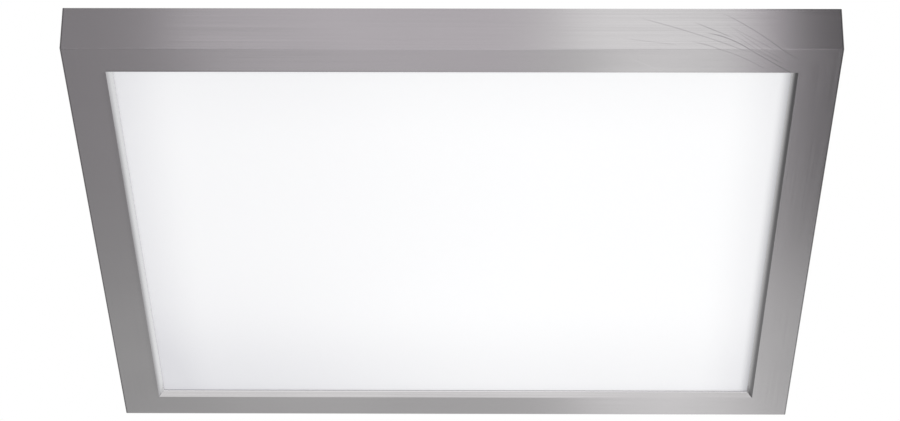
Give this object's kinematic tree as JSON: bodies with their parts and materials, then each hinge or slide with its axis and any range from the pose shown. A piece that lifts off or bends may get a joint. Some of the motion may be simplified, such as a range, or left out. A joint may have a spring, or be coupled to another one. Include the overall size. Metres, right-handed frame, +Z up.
{
  "type": "flush mount ceiling light",
  "caption": "Square low ceiling light: brushed metal frame round a recessed opal edge-lit panel, hinged to a ceiling pan and held shut by thumbscrews.",
  "frame": {"origin": "centre of the square, in the ceiling plane, on the top face of the ceiling pan", "axes": "+Z up into the ceiling; +Y from the hinged side towards the thumbscrew side; +X to the right seen from the hinged side"},
  "size_m": [0.61, 0.6161, 0.0406],
  "materials": {
    "brushed_nickel": "fine brushed satin nickel",
    "white_steel": "white powder coat",
    "zinc_steel": "bright galvanised sheet",
    "plated_steel": "zinc plated",
    "nickel_screws": "nickel plated",
    "opal_panel": "opal acrylic, lit evenly from its edges",
    "clear_acrylic": "clear acrylic with a fine dot pattern",
    "white_film": "white reflective film",
    "grey_foam": "closed cell foam",
    "aluminium": "extruded",
    "led_board_white": "white solder mask on aluminium",
    "led_phosphor": "phosphor under clear resin",
    "white_plastic": "moulded",
    "driver_white": "fine grained moulding",
    "circuit_board": "green solder mask",
    "components": "black and yellow parts",
    "black_rubber": "soft",
    "terminal_grey": "moulded polyamide",
    "brass": "bare",
    "tinned_copper": "tinned",
    "black_lead": "insulation",
    "white_lead": "insulation",
    "green_lead": "insulation",
    "green_screw": "green plated"
  },
  "bodies": {
    "pan": {"ceiling_pan": "white_steel", "cable_bushing": "black_rubber", "pan_ground_screw": "green_screw", "left_hinge_fixed_leaf": "plated_steel", "right_hinge_fixed_leaf": "plated_steel", "left_hinge_pin": "plated_steel", "right_hinge_pin": "plated_steel", "hinge_rivets": "aluminium"},
    "light": {"trim_frame": "brushed_nickel", "left_hinge_moving_leaf": "plated_steel", "right_hinge_moving_leaf": "plated_steel", "left_nut_cage": "plated_steel", "right_nut_cage": "plated_steel", "diffuser": "opal_panel", "light_guide_plate": "clear_acrylic", "reflector_sheet": "white_film", "foam_pad": "grey_foam", "back_cover": "zinc_steel", "left_led_board": "led_board_white", "right_led_board": "led_board_white", "left_leds": "led_phosphor", "right_leds": "led_phosphor", "left_led_rail": "aluminium", "right_led_rail": "aluminium", "near_edge_spacer": "white_plastic", "far_edge_spacer": "white_plastic", "led_sockets": "white_plastic", "cover_brackets": "zinc_steel", "cover_screws": "plated_steel", "driver_base": "zinc_steel", "driver_case": "driver_white", "driver_board": "circuit_board", "driver_components": "components", "driver_grommets": "black_rubber", "driver_screws": "plated_steel", "terminal_block": "terminal_grey", "terminal_clamps": "brass", "terminal_screws": "plated_steel", "terminal_fixing_screws": "plated_steel", "ring_terminal": "tinned_copper", "ground_screw": "green_screw", "live_lead": "black_lead", "neutral_lead": "white_lead", "earth_lead": "green_lead", "left_dc_lead": "white_lead", "right_dc_lead": "white_lead", "lead_clips": "white_plastic"},
    "left_screw": {"left_thumbscrew": "nickel_screws"},
    "right_screw": {"right_thumbscrew": "nickel_screws"},
    "left_nut": {"left_clamp_nut": "plated_steel"},
    "right_nut": {"right_clamp_nut": "plated_steel"}
  },
  "joints": [
    {"name": "body_swing", "type": "hinge", "parent": "pan", "child": "light", "pos_m": [0, -0.3008, -0.0052], "axis": [-1, 0, 0], "range_deg": [0, 90]},
    {"name": "left_screw_turn", "type": "hinge", "parent": "light", "child": "left_screw", "pos_m": [-0.2, 0.305, -0.012], "axis": [0, 1, 0], "range_deg": [0, 1080]},
    {"name": "left_nut_travel", "type": "slide", "parent": "light", "child": "left_nut", "axis": [0, -1, 0], "range_m": [0, 0.00211]},
    {"name": "right_screw_turn", "type": "hinge", "parent": "light", "child": "right_screw", "pos_m": [0.2, 0.305, -0.012], "axis": [0, 1, 0], "range_deg": [0, 1080]},
    {"name": "right_nut_travel", "type": "slide", "parent": "light", "child": "right_nut", "axis": [0, -1, 0], "range_m": [0, 0.00211]}
  ],
  "couplings": [
    {"joint": "left_nut_travel", "follows": "left_screw_turn", "m_per_rad": 0.00011141},
    {"joint": "right_nut_travel", "follows": "right_screw_turn", "m_per_rad": 0.00011141}
  ]
}
